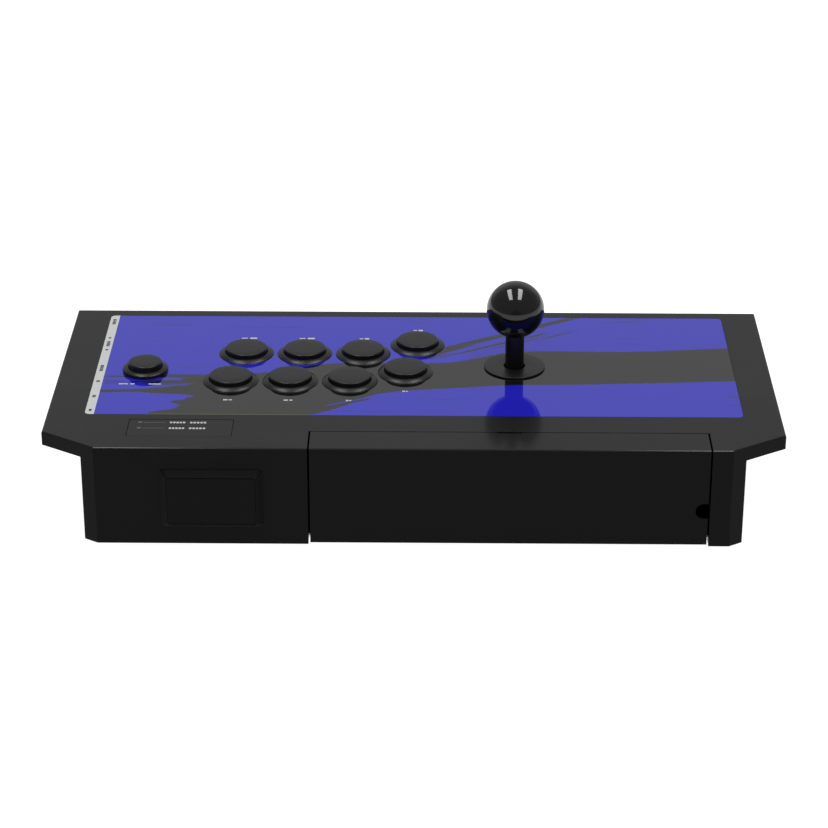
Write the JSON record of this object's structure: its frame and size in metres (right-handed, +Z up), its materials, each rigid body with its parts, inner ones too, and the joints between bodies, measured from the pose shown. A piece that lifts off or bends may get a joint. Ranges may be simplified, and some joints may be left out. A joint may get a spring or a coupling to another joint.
{
  "type": "arcade joystick panel",
  "caption": "Wide desktop arcade control panel with a ball-top lever, round push buttons, a rear touch pad and a rear cable bay behind a hinged door.",
  "frame": {"origin": "on the surface that the feet stand on, at the bottom middle of the overall box", "axes": "+X to the player's right, +Y towards the rear face with the cable door, +Z up"},
  "size_m": [0.4324, 0.202, 0.1206],
  "materials": {
    "shell_plastic": "fine moulded texture",
    "case_plastic": "fine moulded texture",
    "artwork_film": "printed, glossy",
    "zinc_steel": "zinc plated",
    "steel_rod": "ground and plated",
    "rubber": "matte",
    "button_plastic": "satin",
    "ball_plastic": "polished",
    "washer_plastic": "satin",
    "window_plastic": "satin, printed",
    "light_pipe": "frosted clear",
    "pad_plastic": "very fine texture",
    "nylon": "natural nylon",
    "mechanism_plastic": "moulded",
    "circuit_board": "solder mask"
  },
  "bodies": {
    "root": {"top_shell": "shell_plastic", "lower_case": "case_plastic", "base_cover": "case_plastic", "rubber_feet": "rubber", "base_screws": "zinc_steel", "control_plate": "zinc_steel", "artwork_sheet": "artwork_film", "cable_bin": "case_plastic", "bay_cheeks": "case_plastic", "cable_grommet": "rubber", "latch_catch": "case_plastic", "touchpad_frame": "case_plastic", "touchpad_board": "circuit_board", "indicator_window": "window_plastic", "indicator_lights": "light_pipe", "side_panel": "case_plastic", "side_board": "circuit_board", "button_housings": "button_plastic", "button_switches": "mechanism_plastic", "options_housing": "button_plastic", "options_switch": "mechanism_plastic", "lever_plate": "zinc_steel", "lever_housing": "mechanism_plastic", "lever_screws": "zinc_steel", "lever_gate": "nylon", "lever_microswitches": "mechanism_plastic", "lever_board": "circuit_board", "main_board": "circuit_board", "board_pillars": "case_plastic", "board_screws": "zinc_steel"},
    "cable_door": {"cable_door": "case_plastic", "door_hinge_pins": "steel_rod"},
    "lever_bush": {"pivot_bush": "nylon"},
    "lever_carrier": {"actuator": "nylon", "return_spring": "steel_rod"},
    "lever_top": {"lever_shaft": "steel_rod", "retaining_clip": "steel_rod", "shaft_cover": "button_plastic", "ball_top": "ball_plastic"},
    "lower_washer": {"lower_dust_washer": "washer_plastic"},
    "upper_washer": {"dust_washer": "washer_plastic"},
    "touchpad": {"touchpad": "pad_plastic"},
    "options_button": {"options_button": "button_plastic"},
    "mode_switch": {"mode_switch_knob": "button_plastic"},
    "lower_button_1": {"lower_button_1": "button_plastic"},
    "lower_button_2": {"lower_button_2": "button_plastic"},
    "lower_button_3": {"lower_button_3": "button_plastic"},
    "lower_button_4": {"lower_button_4": "button_plastic"},
    "upper_button_1": {"upper_button_1": "button_plastic"},
    "upper_button_2": {"upper_button_2": "button_plastic"},
    "upper_button_3": {"upper_button_3": "button_plastic"},
    "upper_button_4": {"upper_button_4": "button_plastic"},
    "share_button": {"share_button": "button_plastic"},
    "turbo_button": {"turbo_button": "button_plastic"},
    "left_stick_button": {"left_stick_button": "button_plastic"},
    "right_stick_button": {"right_stick_button": "button_plastic"},
    "home_button": {"home_button": "button_plastic"}
  },
  "joints": [
    {"name": "door_hinge", "type": "hinge", "parent": "root", "child": "cable_door", "pos_m": [0, 0.0924, 0.007], "axis": [-1, 0, 0], "range_deg": [0, 90]},
    {"name": "lever_fore_aft", "type": "hinge", "parent": "root", "child": "lever_bush", "pos_m": [-0.0608, -0.0173, 0.0479], "axis": [1, 0, 0], "range_deg": [-8.5, 8.5], "stiffness_Nm_per_rad": 0.55},
    {"name": "lever_left_right", "type": "hinge", "parent": "lever_bush", "child": "lever_carrier", "pos_m": [-0.0608, -0.0173, 0.0479], "axis": [0, 1, 0], "range_deg": [-8.5, 8.5], "stiffness_Nm_per_rad": 0.55},
    {"name": "lever_spin", "type": "hinge", "parent": "lever_carrier", "child": "lever_top", "pos_m": [-0.0608, -0.0173, 0.0479], "axis": [0, 0, 1], "continuous": true},
    {"name": "washer_across", "type": "slide", "parent": "root", "child": "lower_washer", "axis": [1, 0, 0], "range_m": [-0.0027, 0.0027]},
    {"name": "washer_fore_aft", "type": "slide", "parent": "lower_washer", "child": "upper_washer", "axis": [0, 1, 0], "range_m": [-0.0027, 0.0027]},
    {"name": "lower_button_1_press", "type": "slide", "parent": "root", "child": "lower_button_1", "axis": [0, 0, -1], "range_m": [0, 0.0025], "stiffness_N_per_m": 240, "springref_m": -0.002},
    {"name": "lower_button_2_press", "type": "slide", "parent": "root", "child": "lower_button_2", "axis": [0, 0, -1], "range_m": [0, 0.0025], "stiffness_N_per_m": 240, "springref_m": -0.002},
    {"name": "lower_button_3_press", "type": "slide", "parent": "root", "child": "lower_button_3", "axis": [0, 0, -1], "range_m": [0, 0.0025], "stiffness_N_per_m": 240, "springref_m": -0.002},
    {"name": "lower_button_4_press", "type": "slide", "parent": "root", "child": "lower_button_4", "axis": [0, 0, -1], "range_m": [0, 0.0025], "stiffness_N_per_m": 240, "springref_m": -0.002},
    {"name": "upper_button_1_press", "type": "slide", "parent": "root", "child": "upper_button_1", "axis": [0, 0, -1], "range_m": [0, 0.0025], "stiffness_N_per_m": 240, "springref_m": -0.002},
    {"name": "upper_button_2_press", "type": "slide", "parent": "root", "child": "upper_button_2", "axis": [0, 0, -1], "range_m": [0, 0.0025], "stiffness_N_per_m": 240, "springref_m": -0.002},
    {"name": "upper_button_3_press", "type": "slide", "parent": "root", "child": "upper_button_3", "axis": [0, 0, -1], "range_m": [0, 0.0025], "stiffness_N_per_m": 240, "springref_m": -0.002},
    {"name": "upper_button_4_press", "type": "slide", "parent": "root", "child": "upper_button_4", "axis": [0, 0, -1], "range_m": [0, 0.0025], "stiffness_N_per_m": 240, "springref_m": -0.002},
    {"name": "options_button_press", "type": "slide", "parent": "root", "child": "options_button", "axis": [0, 0, -1], "range_m": [0, 0.0025], "stiffness_N_per_m": 240, "springref_m": -0.002},
    {"name": "share_button_press", "type": "slide", "parent": "root", "child": "share_button", "axis": [-1, 0, 0], "range_m": [0, 0.0008], "stiffness_N_per_m": 800, "springref_m": -0.0006},
    {"name": "turbo_button_press", "type": "slide", "parent": "root", "child": "turbo_button", "axis": [-1, 0, 0], "range_m": [0, 0.0008], "stiffness_N_per_m": 800, "springref_m": -0.0006},
    {"name": "left_stick_button_press", "type": "slide", "parent": "root", "child": "left_stick_button", "axis": [-1, 0, 0], "range_m": [0, 0.0008], "stiffness_N_per_m": 800, "springref_m": -0.0006},
    {"name": "right_stick_button_press", "type": "slide", "parent": "root", "child": "right_stick_button", "axis": [-1, 0, 0], "range_m": [0, 0.0008], "stiffness_N_per_m": 800, "springref_m": -0.0006},
    {"name": "home_button_press", "type": "slide", "parent": "root", "child": "home_button", "axis": [-1, 0, 0], "range_m": [0, 0.0008], "stiffness_N_per_m": 800, "springref_m": -0.0006},
    {"name": "mode_switch_slide", "type": "slide", "parent": "root", "child": "mode_switch", "axis": [0, 1, 0], "range_m": [-0.0036, 0.0036]},
    {"name": "touchpad_press", "type": "slide", "parent": "root", "child": "touchpad", "axis": [0, -1, 0], "range_m": [0, 0.0005], "stiffness_N_per_m": 2000, "springref_m": -0.0005}
  ],
  "couplings": [
    {"joint": "washer_across", "follows": "lever_left_right", "m_per_rad": 0.0179},
    {"joint": "washer_fore_aft", "follows": "lever_fore_aft", "m_per_rad": -0.0179}
  ]
}
